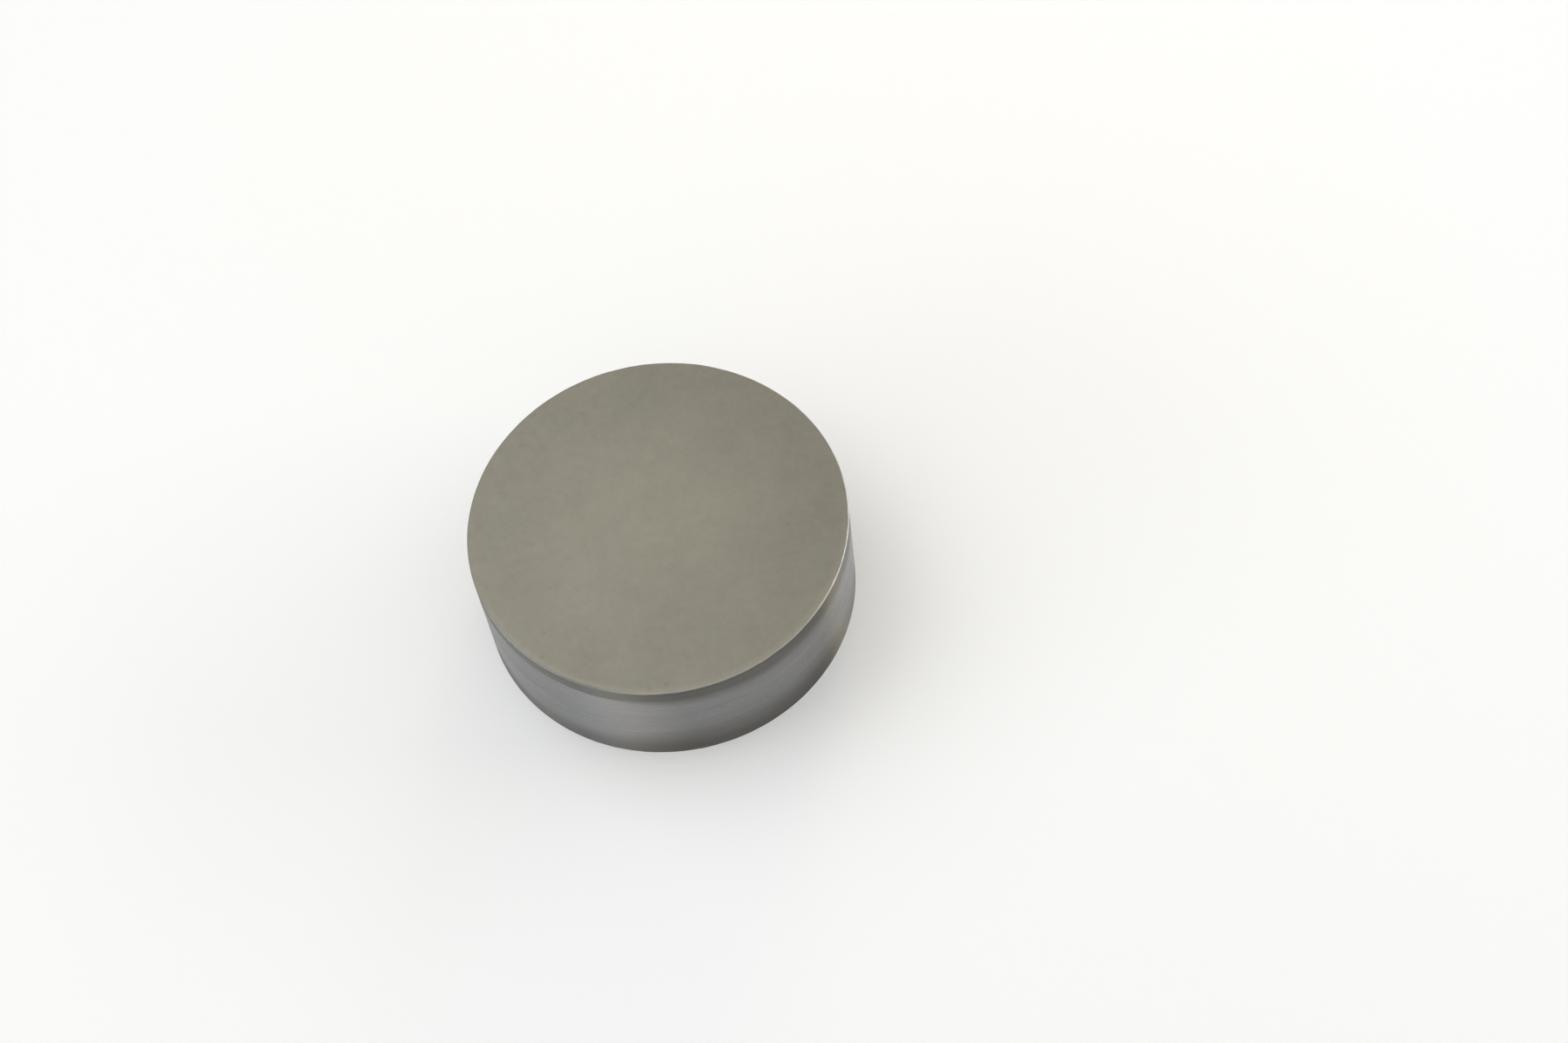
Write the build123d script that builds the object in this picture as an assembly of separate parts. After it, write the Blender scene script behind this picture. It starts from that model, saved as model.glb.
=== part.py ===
from build123d import *
import os

# A thick round sputtering target, turned from one bar of metal.
# The back face lies on Z = 0 with its centre at the origin, and the working face looks along +Z.

# Driving dimensions, in millimetres.
target_diameter = 100.0
target_thickness = 34.0
working_edge_break = 0.35
back_edge_break = 0.35

# Worked out from the driving dimensions.
target_radius = target_diameter / 2


def outermost(corners):
    """The corner that lies furthest from the disc's axis."""
    return corners.sort_by(Axis.X)[-1]


def turned_section():
    """Half of the section, with both rim corners broken: its own X runs out from the axis, its own Y up."""
    with BuildSketch(Plane.XZ) as section:
        Rectangle(target_radius, target_thickness, align=(Align.MIN, Align.MIN))
        back_corners = section.vertices().group_by(Axis.Y)[0]
        fillet(outermost(back_corners), radius=back_edge_break)
        working_corners = section.vertices().group_by(Axis.Y)[-1]
        fillet(outermost(working_corners), radius=working_edge_break)
    return section.sketch


def target_disc():
    """The whole target: the section turned once round the Z axis."""
    return revolve(turned_section(), axis=Axis.Z)


def write_part(solid, node):
    """Writes one node as its own file."""
    solid.label = node
    export_step(solid, f"parts/{node}.step")


os.makedirs("parts", exist_ok=True)
write_part(target_disc(), "target_disc")
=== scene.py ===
import math

import bpy
import mathutils
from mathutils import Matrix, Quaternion, Vector


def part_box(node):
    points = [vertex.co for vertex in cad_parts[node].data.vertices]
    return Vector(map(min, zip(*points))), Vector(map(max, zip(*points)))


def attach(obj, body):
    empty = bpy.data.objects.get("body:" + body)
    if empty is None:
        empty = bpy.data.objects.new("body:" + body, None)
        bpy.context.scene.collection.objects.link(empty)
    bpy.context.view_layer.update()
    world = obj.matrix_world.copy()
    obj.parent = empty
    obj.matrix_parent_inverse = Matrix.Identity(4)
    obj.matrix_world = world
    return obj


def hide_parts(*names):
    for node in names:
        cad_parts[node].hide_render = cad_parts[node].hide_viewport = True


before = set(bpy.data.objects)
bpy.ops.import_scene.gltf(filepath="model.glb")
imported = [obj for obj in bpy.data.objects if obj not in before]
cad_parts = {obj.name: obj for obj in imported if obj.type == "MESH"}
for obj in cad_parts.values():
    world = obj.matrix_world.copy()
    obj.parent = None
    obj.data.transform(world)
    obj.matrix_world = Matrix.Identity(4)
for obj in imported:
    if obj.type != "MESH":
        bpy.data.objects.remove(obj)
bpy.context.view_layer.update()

# Lengths are in metres unless a name says otherwise.
MM = 0.001

# The disc, read from the CAD node.
NODE = "target_disc"
BODY = "root"
LOW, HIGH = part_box(NODE)
RADIUS = HIGH.x
THICKNESS = HIGH.z - LOW.z

# How far both edges are rounded, the share by which that wavers, and the length of one waver.
EDGE_BREAK = 0.35 * MM
EDGE_WAVER = 0.4
EDGE_WAVER_LENGTH = 2.5 * MM

# The camera, fitted to the outline of the disc in the photograph.
CAMERA_LENS_MM = 60.9
SENSOR_WIDTH_MM = 36.0
CAMERA_DISTANCE = 691.5 * MM
CAMERA_ELEVATION_DEG = 58.72
CAMERA_ROLL_DEG = -8.26
AIM_RIGHT_OF_AXIS = 32.07 * MM
AIM_NEARER_THAN_AXIS = 8.24 * MM

# How finely the disc's mesh is divided.
SEGMENTS = 720
RIM_ROWS = 60
FACE_RINGS = 24
EDGE_STEPS = 6

# The metal's colours. A change of colour is a share: -0.1 makes it a tenth darker.
FACE_COLOUR = (0.287, 0.286, 0.241)
FACE_WARM_COLOUR = (0.309, 0.285, 0.237)
RIM_COLOUR = (0.327, 0.324, 0.324)
# The belts' darker colour is partly their duller finish and partly painted shade.
DULL_BELT_AND_SHADE_COLOUR = (0.206, 0.202, 0.188)
# The broken edges' colours: painted shade, and a painted highlight on the side towards +X and -Y.
EDGE_PAINTED_SHADE_COLOUR = (0.210, 0.206, 0.190)
EDGE_PAINTED_HIGHLIGHT_COLOUR = (0.440, 0.430, 0.385)

# The ground faces. A swing goes both ways by that share, and a mark's range is the stretch of its
# noise, from 0 to 1, over which it sets in.
FACE_ROUGHNESS = 0.44
FACE_ROUGHNESS_SWING = 0.05
FACE_CLOUD_SIZE = 14 * MM
FACE_CLOUD_SWING = 0.08
FACE_PATCH_SIZE = 2.2 * MM
FACE_PATCH_SWING = 0.08
FACE_SMUDGE_RANGE = (0.60, 0.76)
FACE_SMUDGE_CHANGE = -0.07
FACE_GRAIN_SIZE = 0.22 * MM
FACE_GRAIN_DEPTH = 0.0015 * MM
# Painted light on the faces: lighter in the middle, painted shade towards the border (less of it towards
# -Y), and a painted highlight along the -Y margin.
PAINTED_FACE_MIDDLE_LIGHT = 0.04
PAINTED_FACE_BORDER_SHADE = -0.09
PAINTED_SHADE_NEAR_SIDE_SHARE = 0.4
PAINTED_MARGIN_HIGHLIGHT = 0.09

# The turned rim. The two numbers of a size are a mark's length round the rim and its height. The
# highlight is turned by a quarter of a full turn, so it spreads up and down.
RIM_ROUGHNESS = 0.27
RIM_SHINE_SWING = 0.02
RIM_HAZE_SWING = 0.03
BELT_MORE_ROUGH = 0.11
RIM_LINE_SIZE = (150 * MM, 0.35 * MM)
RIM_LINE_SWING = 0.04
RIM_LINE_TILT = 0.02
RIM_CLOUD_SIZE = (30 * MM, 4 * MM)
RIM_CLOUD_SWING = 0.13
RIM_WISP_SIZE = (34 * MM, 1.1 * MM)
RIM_WISP_RANGE = (0.50, 0.76)
RIM_WISP_CHANGE = -0.06
RIM_SCRATCH_RANGE = (0.73, 0.79)
RIM_SCRATCH_CHANGE = -0.09
# Painted light and shade on the rim's colour: a little lighter towards -X, painted shade towards +X and at
# the -X end.
PAINTED_RIM_LIGHT_MINUS_X = 0.06
PAINTED_RIM_SHADE_PLUS_X = -0.21
PAINTED_RIM_END_SHADE = -0.47
RIM_JAG_SIZE = (15 * MM, 0.5 * MM)
RIM_JAG_TILT = 0.045
RIM_HAIRLINE_SIZE = (80 * MM, 0.03 * MM)
RIM_HAIRLINE_TILT = 0.05
RIM_ANISOTROPY = 1.0
RIM_HIGHLIGHT_TURN = 0.25

# The rim's duller belts, rougher than the rest and darker partly by painted shade: each one's width and the
# softness of its border, at -X and then at +X.
BELT_WANDER_SIZE = (40 * MM, 1000 * MM)
BELT_FRAY_SIZE = (6 * MM, 0.6 * MM)
TOP_BELT_WIDTHS = (4.4 * MM, 6.6 * MM)
TOP_BELT_WANDER = 1.6 * MM
TOP_BELT_SOFTNESS = (0.3 * MM, 3.0 * MM)
BACK_BELT_WIDTHS = (6.0 * MM, 9.0 * MM)
BACK_BELT_WANDER = 2.5 * MM
BACK_BELT_SOFTNESS = (4.0 * MM, 6.5 * MM)
BELT_FRAY = 0.5 * MM

# The broken edges.
EDGE_ROUGHNESS = 0.45
EDGE_ROUGHNESS_SWING = 0.08
EDGE_TONE_SIZE = 3 * MM
EDGE_TONE_SWING = 0.15

# The room. The floor is matt paper near the disc and plain light far from it.
FLOOR_COLOUR = (0.82, 0.824, 0.836)
FLOOR_LIFT = 0.155
FLOOR_HALF_SIDE = 20.0
FLOOR_NEAR = 0.14
FLOOR_FAR = 0.5
HORIZON_LIGHT = (0.97, 0.97, 0.97)
UPPER_LIGHT = (0.57, 0.563, 0.545)
HORIZON_LIGHT_TOP = 0.15
UPPER_LIGHT_FOOT = 0.6

# The large soft box. White paper in its full light has radiance 1.
KEY_AZIMUTH_DEG = 145
KEY_ELEVATION_DEG = 48
KEY_DISTANCE = 2.6
KEY_WIDTH = 2.6
KEY_HEIGHT = 2.4
KEY_RADIANCE = 1.25
KEY_COLOUR = (0.99, 1.0, 1.01)

# The light ring that the rim mirrors: where each glow starts or ends, in degrees from +X towards +Y.
# Between two of them the light changes evenly, and two at one place make a crisp border.
RING_DISTANCE = 1.2
RING_HEIGHT = 0.48
RING_STEP_DEG = 3
BLACK = (0.02, 0.02, 0.02)
DARK = (0.10, 0.09, 0.08)
GREY = (0.55, 0.55, 0.54)
BROWN = (0.45, 0.36, 0.26)
TAN = (2.3, 1.95, 1.25)
GOLD = (7.4, 6.2, 3.6)
CREAM = (7.4, 7.0, 6.0)
SILVER = (5.0, 5.1, 5.2)
STEEL = (2.2, 2.27, 2.34)
BLUE = (1.25, 1.6, 1.82)
RING_LIGHTS = [
    (-80, GREY), (-38, GREY), (-38, DARK), (-34, BLACK), (-20, BLACK),
    (-20, TAN), (-11, GOLD), (-11, CREAM), (-4, SILVER), (20, SILVER), (38, BLUE), (56, BLUE),
    (56, GOLD), (72, GOLD), (75, TAN), (100, BROWN), (116, DARK), (130, GREY), (146, GREY),
    (151, BLACK), (164, BLACK), (164, TAN), (170, STEEL), (182, SILVER), (194, SILVER),
    (212, BLUE), (230, BLUE), (230, TAN), (246, BROWN), (262, DARK), (280, GREY),
]


def new_material(name):
    """A material with an empty node tree."""
    material = bpy.data.materials.new(name)
    material.use_nodes = True
    material.node_tree.nodes.clear()
    return material, material.node_tree


def wire(tree, socket, value):
    """Links a node's output to the socket, or writes a plain value on it."""
    if isinstance(value, bpy.types.NodeSocket):
        tree.links.new(value, socket)
    else:
        socket.default_value = value


def add_node(tree, kind, inputs=None, **settings):
    """One shader node with its settings and inputs."""
    node = tree.nodes.new(kind)
    for key, value in settings.items():
        setattr(node, key, value)
    for key, value in (inputs or {}).items():
        wire(tree, node.inputs[key], value)
    return node


def calculate(tree, operation, a, b):
    return add_node(tree, "ShaderNodeMath", {0: a, 1: b}, operation=operation).outputs["Value"]


def total(tree, first, *others):
    """The sum of two or more values."""
    for other in others:
        first = calculate(tree, "ADD", first, other)
    return first


def vectors(tree, operation, a, b=(0, 0, 0)):
    return add_node(tree, "ShaderNodeVectorMath", {0: a, 1: b}, operation=operation).outputs["Vector"]


def scaled(tree, vector, factor):
    node = add_node(tree, "ShaderNodeVectorMath", {0: vector, "Scale": factor}, operation="SCALE")
    return node.outputs["Vector"]


def length(tree, vector):
    return add_node(tree, "ShaderNodeVectorMath", {0: vector}, operation="LENGTH").outputs["Value"]


def parts_of(tree, vector):
    """The X, Y and Z of a vector, by name."""
    return add_node(tree, "ShaderNodeSeparateXYZ", {"Vector": vector}).outputs


def object_place(tree):
    """The shaded point in the disc's own coordinates."""
    return add_node(tree, "ShaderNodeTexCoord").outputs["Object"]


def remap(tree, value, low, high, new_low, new_high):
    """Takes low..high smoothly to new_low..new_high and holds the ends."""
    inputs = {"Value": value, "From Min": low, "From Max": high, "To Min": new_low, "To Max": new_high}
    return add_node(tree, "ShaderNodeMapRange", inputs, interpolation_type="SMOOTHSTEP").outputs["Result"]


def noise(tree, place, size, detail=2.0, roughness=0.5):
    """Three unlike noises from 0 to 1, with features of that size along X, Y and Z."""
    fine = vectors(tree, "DIVIDE", place, size)
    inputs = {"Vector": fine, "Scale": 1.0, "Detail": detail, "Roughness": roughness}
    texture = add_node(tree, "ShaderNodeTexNoise", inputs, noise_dimensions="3D")
    parts = add_node(tree, "ShaderNodeSeparateColor", {"Color": texture.outputs["Color"]})
    return parts.outputs["Red"], parts.outputs["Green"], parts.outputs["Blue"]


def even(size):
    """Marks of the same size every way."""
    return (size, size, size)


def drawn_out(size):
    """Marks on the rim, from their length round it and their height."""
    long, high = size
    return (long, long, high)


def blend(tree, factor, a, b):
    """Colour a at factor 0 and colour b at factor 1."""
    node = tree.nodes.new("ShaderNodeMix")
    node.data_type = "RGBA"
    wire(tree, node.inputs["Factor"], factor)
    wire(tree, node.inputs[6], a)
    wire(tree, node.inputs[7], b)
    return node.outputs[2]


def shade(tree, colour, change):
    """The colour, lighter or darker by a share that may differ from place to place."""
    return scaled(tree, colour, calculate(tree, "ADD", 1.0, change))


def swing(tree, value, most):
    """A noise from 0 to 1 as a change from -most to most."""
    return calculate(tree, "MULTIPLY", calculate(tree, "SUBTRACT", value, 0.5), 2 * most)


def rgba(colour):
    return (*colour, 1.0)


def metal_shader(tree, colour, roughness):
    """A bare metal's shader, already wired to the material's output."""
    shader = add_node(tree, "ShaderNodeBsdfPrincipled", {"Metallic": 1.0})
    wire(tree, shader.inputs["Base Color"], colour)
    wire(tree, shader.inputs["Roughness"], roughness)
    output = add_node(tree, "ShaderNodeOutputMaterial")
    tree.links.new(shader.outputs["BSDF"], output.inputs["Surface"])
    return shader


def painted_face_shade(tree, place):
    """Painted shade on a face: it is lightest in its middle and darker towards its border. Towards -Y it
    falls off less and ends in a painted highlight along the margin.
    """
    from_axis = length(tree, vectors(tree, "MULTIPLY", place, (1, 1, 0)))
    far_side = remap(tree, parts_of(tree, place)["Y"], -0.7 * RADIUS, 0.2 * RADIUS, 0.0, 1.0)
    fall = remap(tree, from_axis, 0.2 * RADIUS, 0.95 * RADIUS, PAINTED_FACE_MIDDLE_LIGHT, PAINTED_FACE_BORDER_SHADE)
    fall = calculate(tree, "MULTIPLY", fall, remap(tree, far_side, 0.0, 1.0, PAINTED_SHADE_NEAR_SIDE_SHARE, 1.0))
    margin = remap(tree, from_axis, 0.955 * RADIUS, 0.985 * RADIUS, 0.0, 1.0)
    painted_margin_light = remap(tree, far_side, 0.0, 1.0, PAINTED_MARGIN_HIGHLIGHT, 0.0)
    return total(tree, fall, calculate(tree, "MULTIPLY", margin, painted_margin_light))


def face_metal():
    """Fine-ground satin metal, with a faint cloudiness and a fine even grain. Its colour also carries
    painted shade and a painted highlight.
    """
    material, tree = new_material("ground_face")
    place = object_place(tree)
    cloud, warmth, dull = noise(tree, place, even(FACE_CLOUD_SIZE), detail=3.0, roughness=0.6)
    patch, smudge, _ = noise(tree, place, even(FACE_PATCH_SIZE), detail=2.0, roughness=0.6)
    grain, _, _ = noise(tree, place, even(FACE_GRAIN_SIZE), detail=1.0, roughness=0.5)
    change = total(
        tree,
        swing(tree, cloud, FACE_CLOUD_SWING),
        swing(tree, patch, FACE_PATCH_SWING),
        # Painted shade and a painted highlight, set by the place on the face.
        painted_face_shade(tree, place),
        remap(tree, smudge, *FACE_SMUDGE_RANGE, 0.0, FACE_SMUDGE_CHANGE),
    )
    warm = blend(tree, warmth, rgba(FACE_COLOUR), rgba(FACE_WARM_COLOUR))
    roughness = total(tree, FACE_ROUGHNESS, swing(tree, dull, FACE_ROUGHNESS_SWING))
    shader = metal_shader(tree, shade(tree, warm, change), roughness)
    bump = add_node(tree, "ShaderNodeBump", {"Strength": 1.0, "Distance": FACE_GRAIN_DEPTH, "Height": grain})
    wire(tree, shader.inputs["Normal"], bump.outputs["Normal"])
    return material


def belt(tree, depth, side, widths, wander, softness):
    """1 from an edge of the rim down to a wandering border, and 0 past it."""
    width = total(tree, remap(tree, side, 0.0, 1.0, *widths), wander)
    border = remap(tree, side, 0.0, 1.0, *softness)
    inside = calculate(tree, "DIVIDE", calculate(tree, "SUBTRACT", width, depth), border)
    return remap(tree, inside, -1.0, 1.0, 0.0, 1.0)


def rim_belts(tree, place):
    """1 in the duller belts beside both faces: narrow and crisp at -X, wide and soft at +X. They are
    rougher, and their darker colour is partly painted shade.
    """
    spot = parts_of(tree, place)
    wander, ragged, _ = noise(tree, place, drawn_out(BELT_WANDER_SIZE), detail=1.5)
    fray, _, _ = noise(tree, place, drawn_out(BELT_FRAY_SIZE))
    fray = swing(tree, fray, BELT_FRAY)
    from_top = total(tree, calculate(tree, "SUBTRACT", THICKNESS, spot["Z"]), fray)
    from_back = total(tree, spot["Z"], fray)
    side = remap(tree, spot["X"], -0.8 * RADIUS, 0.2 * RADIUS, 0.0, 1.0)
    wander = swing(tree, wander, TOP_BELT_WANDER)
    ragged = swing(tree, ragged, BACK_BELT_WANDER)
    top = belt(tree, from_top, side, TOP_BELT_WIDTHS, wander, TOP_BELT_SOFTNESS)
    back = belt(tree, from_back, side, BACK_BELT_WIDTHS, ragged, BACK_BELT_SOFTNESS)
    return calculate(tree, "MAXIMUM", top, back)


def rim_colour(tree, place, belts, tone, cloud):
    """Bright metal between the belts, with faint streaks and scratches. Painted shade makes it darker at -X
    and at +X.
    """
    wisp, scratch, _ = noise(tree, place, drawn_out(RIM_WISP_SIZE), roughness=0.6)
    across = parts_of(tree, place)["X"]
    change = total(
        tree,
        swing(tree, tone, RIM_LINE_SWING),
        swing(tree, cloud, RIM_CLOUD_SWING),
        remap(tree, wisp, *RIM_WISP_RANGE, 0.0, RIM_WISP_CHANGE),
        remap(tree, scratch, *RIM_SCRATCH_RANGE, 0.0, RIM_SCRATCH_CHANGE),
        # Painted light and shade across the disc: lighter towards -X, darker towards +X, and much darker at
        # the -X end.
        remap(tree, across, -0.38 * RADIUS, -0.02 * RADIUS, PAINTED_RIM_LIGHT_MINUS_X, PAINTED_RIM_SHADE_PLUS_X),
        remap(tree, across, -0.88 * RADIUS, -0.40 * RADIUS, PAINTED_RIM_END_SHADE, 0.0),
    )
    # In the belts the colour turns to the belt colour, which is partly painted shade.
    return shade(tree, blend(tree, belts, rgba(RIM_COLOUR), rgba(DULL_BELT_AND_SHADE_COLOUR)), change)


def rim_roughness(tree, belts, shine, haze):
    middle = total(
        tree,
        RIM_ROUGHNESS,
        swing(tree, shine, RIM_SHINE_SWING),
        swing(tree, haze, RIM_HAZE_SWING),
    )
    return total(tree, middle, calculate(tree, "MULTIPLY", belts, BELT_MORE_ROUGH))


def rim_normal(tree, place, normal, slope):
    """The rim's normal, tilted up and down by the turning lines and a little round the rim."""
    _, jag, _ = noise(tree, place, drawn_out(RIM_JAG_SIZE), detail=1.0)
    _, _, hairline = noise(tree, place, drawn_out(RIM_HAIRLINE_SIZE), detail=1.0)
    round_rim = vectors(tree, "CROSS_PRODUCT", (0, 0, 1), normal)
    round_tilt = scaled(tree, round_rim, swing(tree, jag, RIM_JAG_TILT))
    up = total(tree, swing(tree, slope, RIM_LINE_TILT), swing(tree, hairline, RIM_HAIRLINE_TILT))
    up_tilt = add_node(tree, "ShaderNodeCombineXYZ", {"Z": up}).outputs["Vector"]
    tilted = vectors(tree, "ADD", vectors(tree, "ADD", normal, round_tilt), up_tilt)
    to_world = add_node(
        tree, "ShaderNodeVectorTransform", {"Vector": tilted},
        vector_type="NORMAL", convert_from="OBJECT", convert_to="WORLD",
    )
    return vectors(tree, "NORMALIZE", to_world.outputs["Vector"])


def rim_metal():
    """Finely turned bright metal: its lines run round the rim and spread a highlight up and down."""
    material, tree = new_material("turned_rim")
    coordinates = add_node(tree, "ShaderNodeTexCoord").outputs
    place = coordinates["Object"]
    belts = rim_belts(tree, place)
    tone, shine, slope = noise(tree, place, drawn_out(RIM_LINE_SIZE))
    cloud, _, haze = noise(tree, place, drawn_out(RIM_CLOUD_SIZE), roughness=0.6)
    colour = rim_colour(tree, place, belts, tone, cloud)
    shader = metal_shader(tree, colour, rim_roughness(tree, belts, shine, haze))
    wire(tree, shader.inputs["Anisotropic"], RIM_ANISOTROPY)
    wire(tree, shader.inputs["Anisotropic Rotation"], RIM_HIGHLIGHT_TURN)
    tangent = add_node(tree, "ShaderNodeTangent", direction_type="RADIAL", axis="Z")
    wire(tree, shader.inputs["Tangent"], tangent.outputs["Tangent"])
    wire(tree, shader.inputs["Normal"], rim_normal(tree, place, coordinates["Normal"], slope))
    return material


def edge_metal():
    """The small rounded edges: a painted highlight on one side, and painted shade at -X and +Y."""
    material, tree = new_material("broken_edge")
    place = object_place(tree)
    tone, shine, _ = noise(tree, place, even(EDGE_TONE_SIZE), detail=3.0, roughness=0.6)
    spot = parts_of(tree, place)
    # Where the painted highlight lies: away from -X and towards -Y; elsewhere the edge has painted shade.
    highlight_across = remap(tree, spot["X"], -0.6 * RADIUS, -0.2 * RADIUS, 0.0, 1.0)
    highlight_along = remap(tree, spot["Y"], -0.2 * RADIUS, 0.3 * RADIUS, 1.0, 0.0)
    bright = calculate(tree, "MULTIPLY", highlight_across, highlight_along)
    colour = blend(tree, bright, rgba(EDGE_PAINTED_SHADE_COLOUR), rgba(EDGE_PAINTED_HIGHLIGHT_COLOUR))
    colour = shade(tree, colour, swing(tree, tone, EDGE_TONE_SWING))
    metal_shader(tree, colour, total(tree, EDGE_ROUGHNESS, swing(tree, shine, EDGE_ROUGHNESS_SWING)))
    return material


def edge_break(azimuth, height):
    """How far the edge is rounded at one place round the disc. It wavers, as an edge broken by hand does."""
    spot = Vector((RADIUS * math.cos(azimuth), RADIUS * math.sin(azimuth), height))
    return EDGE_BREAK * (1 + EDGE_WAVER * mathutils.noise.noise(spot / EDGE_WAVER_LENGTH))


def section_rows():
    """The section's rows from the back face's middle to the working face's middle.

    Each row is the stretch of the section that it lies on and its share of the way along that stretch."""
    rows = [("back_face", i / FACE_RINGS) for i in range(FACE_RINGS)]
    rows += [("back_edge", i / EDGE_STEPS) for i in range(EDGE_STEPS)]
    rows += [("rim", i / RIM_ROWS) for i in range(RIM_ROWS)]
    rows += [("working_edge", i / EDGE_STEPS) for i in range(EDGE_STEPS)]
    rows += [("working_face", 1 - i / FACE_RINGS) for i in range(FACE_RINGS + 1)]
    return rows


def section_point(stretch, share, back, working):
    """One point of the section: its distance out, its height, and its normal's parts out and up.

    Back and working are how far the two edges are rounded there."""
    top = THICKNESS - working
    if stretch == "back_face":
        return (RADIUS - back) * share, 0.0, 0.0, -1.0
    if stretch == "working_face":
        return (RADIUS - working) * share, THICKNESS, 0.0, 1.0
    if stretch == "rim":
        return RADIUS, back + (top - back) * share, 1.0, 0.0
    if stretch == "back_edge":
        out = math.cos(math.pi / 2 * (share - 1))
        up = math.sin(math.pi / 2 * (share - 1))
        return RADIUS - back + back * out, back + back * up, out, up
    out = math.cos(math.pi / 2 * share)
    up = math.sin(math.pi / 2 * share)
    return RADIUS - working + working * out, top + working * up, out, up


def section_points(rows):
    """The swept section's points and normals, and the number of each row's first point."""
    azimuths = [math.tau * s / SEGMENTS for s in range(SEGMENTS)]
    breaks = [(edge_break(a, 0.0), edge_break(a, THICKNESS)) for a in azimuths]
    verts, normals, starts = [], [], []
    for stretch, share in rows:
        starts.append(len(verts))
        is_middle = share == 0 and "face" in stretch
        count = 1 if is_middle else SEGMENTS
        for azimuth, (back, working) in list(zip(azimuths, breaks))[:count]:
            out, up, normal_out, normal_up = section_point(stretch, share, back, working)
            c, s = math.cos(azimuth), math.sin(azimuth)
            verts.append((out * c, out * s, LOW.z + up))
            normals.append((normal_out * c, normal_out * s, normal_up))
    return verts, normals, starts


def section_faces(rows, starts):
    """The faces between the rows, each with the number of its material."""
    slot_of = {"back_face": 0, "working_face": 0, "rim": 1, "back_edge": 2, "working_edge": 2}
    faces, slots = [], []
    for row, (a, b) in enumerate(zip(starts, starts[1:])):
        for s in range(SEGMENTS):
            t = (s + 1) % SEGMENTS
            if row == 0:
                faces.append((a, b + t, b + s))
            elif row == len(rows) - 2:
                faces.append((a + s, a + t, b))
            else:
                faces.append((a + s, a + t, b + t, b + s))
            slots.append(slot_of[rows[row][0]])
    return faces, slots


def turned_disc():
    """The disc's own mesh: the section swept round the axis, with true normals."""
    rows = section_rows()
    verts, normals, starts = section_points(rows)
    faces, slots = section_faces(rows, starts)
    mesh = bpy.data.meshes.new("turned_target")
    mesh.from_pydata(verts, [], faces)
    mesh.update()
    for polygon, slot in zip(mesh.polygons, slots):
        polygon.material_index = slot
        polygon.use_smooth = True
    mesh.normals_split_custom_set_from_vertices(normals)
    return mesh


def place_object(name, data):
    """A new object at the origin, in the scene."""
    made = bpy.data.objects.new(name, data)
    bpy.context.scene.collection.objects.link(made)
    return made


def build_disc():
    disc = place_object("turned_target", turned_disc())
    for material in (face_metal(), rim_metal(), edge_metal()):
        disc.data.materials.append(material)
    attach(disc, BODY)
    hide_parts(NODE)


def floor_material():
    """Pale matt paper under the disc, which turns into plain white light far from it."""
    material, tree = new_material("pale_floor")
    far = remap(tree, length(tree, object_place(tree)), FLOOR_NEAR, FLOOR_FAR, 0.0, 1.0)
    paper = add_node(tree, "ShaderNodeBsdfDiffuse", {"Color": rgba(FLOOR_COLOUR)})
    ray = add_node(tree, "ShaderNodeLightPath").outputs
    seen = calculate(tree, "MAXIMUM", ray["Is Camera Ray"], ray["Is Glossy Ray"])
    seen = calculate(tree, "MAXIMUM", seen, ray["Is Transmission Ray"])
    lift = add_node(tree, "ShaderNodeEmission", {"Strength": calculate(tree, "MULTIPLY", seen, FLOOR_LIFT)})
    near = add_node(tree, "ShaderNodeAddShader", {0: paper.outputs[0], 1: lift.outputs[0]})
    glow = add_node(tree, "ShaderNodeEmission", {"Color": rgba(HORIZON_LIGHT), "Strength": 1.0})
    both = add_node(tree, "ShaderNodeMixShader", {0: far, 1: near.outputs[0], 2: glow.outputs[0]})
    output = add_node(tree, "ShaderNodeOutputMaterial")
    tree.links.new(both.outputs["Shader"], output.inputs["Surface"])
    return material


def build_floor():
    half = FLOOR_HALF_SIDE
    corners = [(-half, -half, 0), (half, -half, 0), (half, half, 0), (-half, half, 0)]
    mesh = bpy.data.meshes.new("floor")
    mesh.from_pydata(corners, [], [(0, 1, 2, 3)])
    mesh.materials.append(floor_material())
    place_object("floor", mesh)


def around(azimuth_deg, elevation_deg, distance):
    """A point round the disc. Azimuth 0 is towards +X and 90 towards +Y."""
    a = math.radians(azimuth_deg)
    e = math.radians(elevation_deg)
    return Vector((math.cos(a) * math.cos(e), math.sin(a) * math.cos(e), math.sin(e))) * distance


def key_box():
    """A large soft box aimed at the disc, which the camera can't see."""
    data = bpy.data.lights.new("key_box", "AREA")
    data.shape = "RECTANGLE"
    data.size = KEY_WIDTH
    data.size_y = KEY_HEIGHT
    data.energy = KEY_RADIANCE * math.pi * KEY_WIDTH * KEY_HEIGHT
    data.color = KEY_COLOUR
    light = place_object("key_box", data)
    light.location = around(KEY_AZIMUTH_DEG, KEY_ELEVATION_DEG, KEY_DISTANCE)
    light.rotation_mode = "QUATERNION"
    light.rotation_quaternion = light.location.to_track_quat("Z", "Y")
    light.visible_camera = False


def ring_columns():
    """The light ring's upright columns: the azimuth and the light of each one's two sides."""
    for (start, first), (end, last) in zip(RING_LIGHTS, RING_LIGHTS[1:]):
        steps = math.ceil((end - start) / RING_STEP_DEG)
        for i in range(steps):
            spots = [(start + (end - start) * k / steps, k / steps) for k in (i, i + 1)]
            yield [(azimuth, Vector(first).lerp(Vector(last), share)) for azimuth, share in spots]


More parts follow.
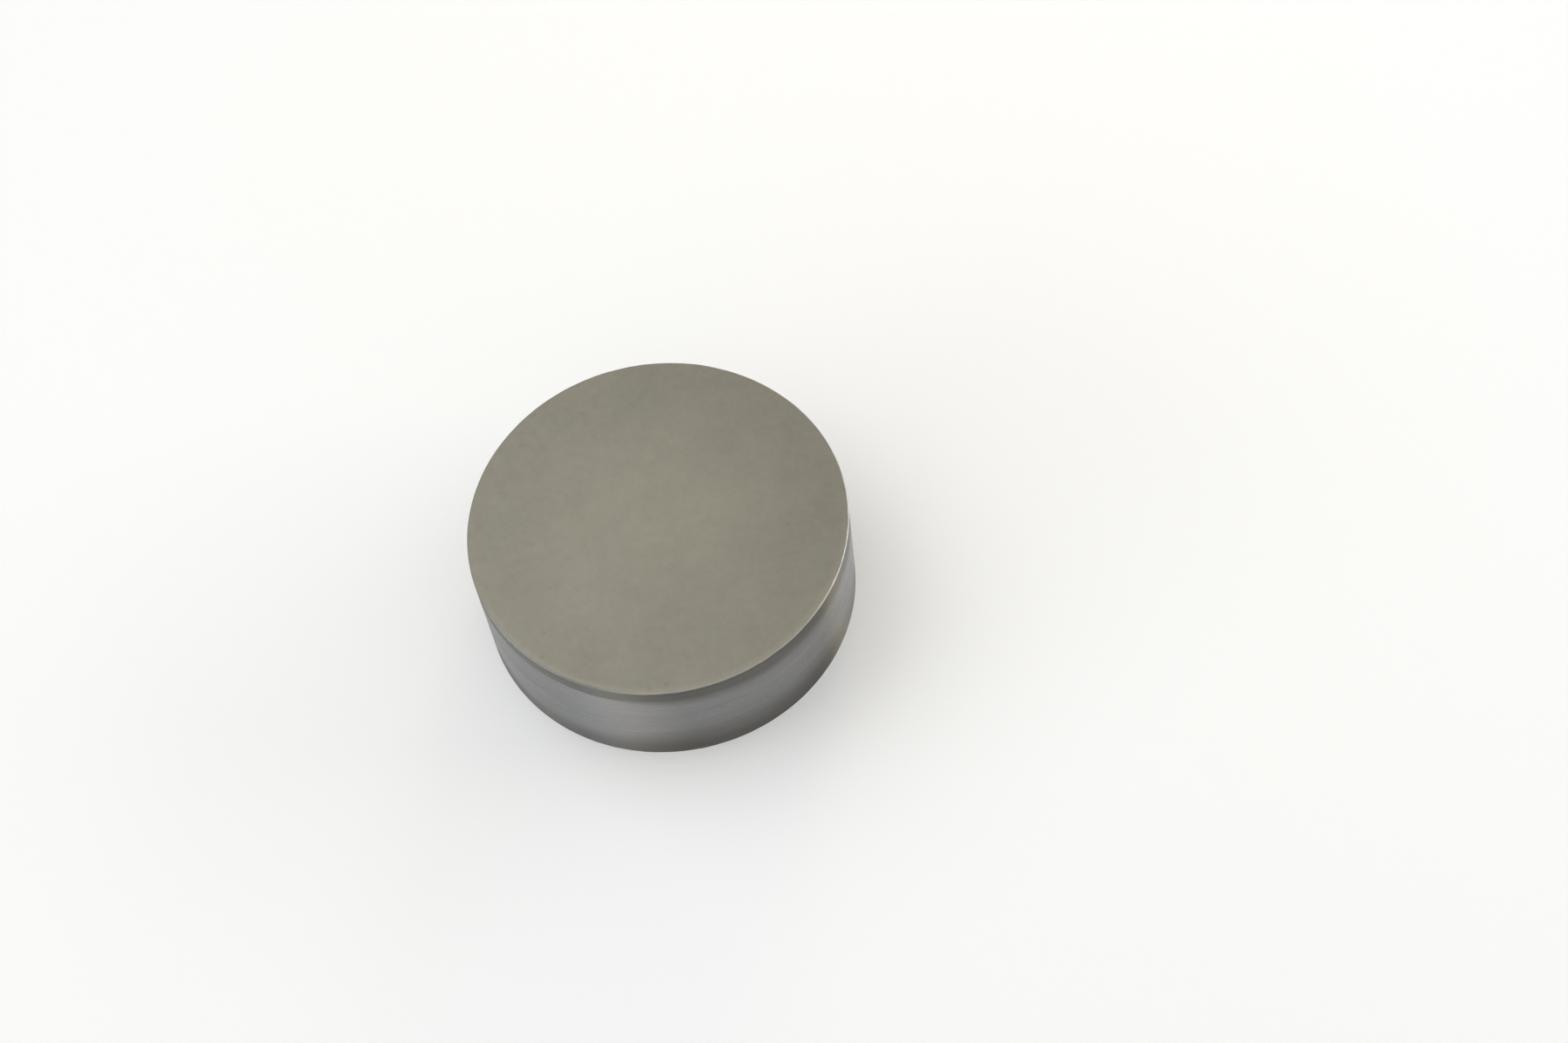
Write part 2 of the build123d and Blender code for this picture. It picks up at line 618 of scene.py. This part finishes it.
def ring_material():
    """Light of the colour that is kept on the ring's points."""
    material, tree = new_material("light_ring")
    glow = add_node(tree, "ShaderNodeVertexColor", layer_name="glow").outputs["Color"]
    light = add_node(tree, "ShaderNodeEmission", {"Color": glow})
    output = add_node(tree, "ShaderNodeOutputMaterial")
    tree.links.new(light.outputs[0], output.inputs["Surface"])
    return material


def light_ring():
    """A low round wall of light far outside the disc, which the camera can't see."""
    verts, faces, glows = [], [], []
    top = Vector((0, 0, RING_HEIGHT))
    for left, right in ring_columns():
        first = len(verts)
        feet = [around(azimuth, 0, RING_DISTANCE) for azimuth, _ in (left, right)]
        verts += [feet[0], feet[1], feet[1] + top, feet[0] + top]
        faces.append((first, first + 1, first + 2, first + 3))
        glows += [left[1], right[1], right[1], left[1]]
    mesh = bpy.data.meshes.new("light_ring")
    mesh.from_pydata(verts, [], faces)
    layer = mesh.color_attributes.new("glow", "FLOAT_COLOR", "POINT")
    for spot, glow in zip(layer.data, glows):
        spot.color = rgba(glow)
    mesh.materials.append(ring_material())
    ring = place_object("light_ring", mesh)
    ring.visible_camera = False


def build_world():
    """Soft light from all round: white low down, dimmer and a little warmer overhead."""
    world = bpy.data.worlds.new("room")
    bpy.context.scene.world = world
    world.use_nodes = True
    tree = world.node_tree
    direction = add_node(tree, "ShaderNodeTexCoord").outputs["Generated"]
    overhead = remap(tree, parts_of(tree, direction)["Z"], HORIZON_LIGHT_TOP, UPPER_LIGHT_FOOT, 0.0, 1.0)
    colour = blend(tree, overhead, rgba(HORIZON_LIGHT), rgba(UPPER_LIGHT))
    wire(tree, tree.nodes["Background"].inputs["Color"], colour)
    wire(tree, tree.nodes["Background"].inputs["Strength"], 1.0)


def build_camera():
    data = bpy.data.cameras.new("camera")
    data.lens = CAMERA_LENS_MM
    data.sensor_width = SENSOR_WIDTH_MM
    camera = place_object("camera", data)
    bpy.context.scene.camera = camera
    elevation = math.radians(CAMERA_ELEVATION_DEG)
    face_centre = Vector((0, 0, HIGH.z))
    place = face_centre + CAMERA_DISTANCE * Vector((0, -math.cos(elevation), math.sin(elevation)))
    aim = face_centre + Vector((AIM_RIGHT_OF_AXIS, -AIM_NEARER_THAN_AXIS, 0))
    camera.location = place
    camera.rotation_mode = "QUATERNION"
    level = (aim - place).to_track_quat("-Z", "Y")
    camera.rotation_quaternion = level @ Quaternion((0, 0, 1), math.radians(CAMERA_ROLL_DEG))


build_disc()
build_floor()
build_world()
key_box()
light_ring()
build_camera()
bpy.context.scene.view_settings.view_transform = "Standard"
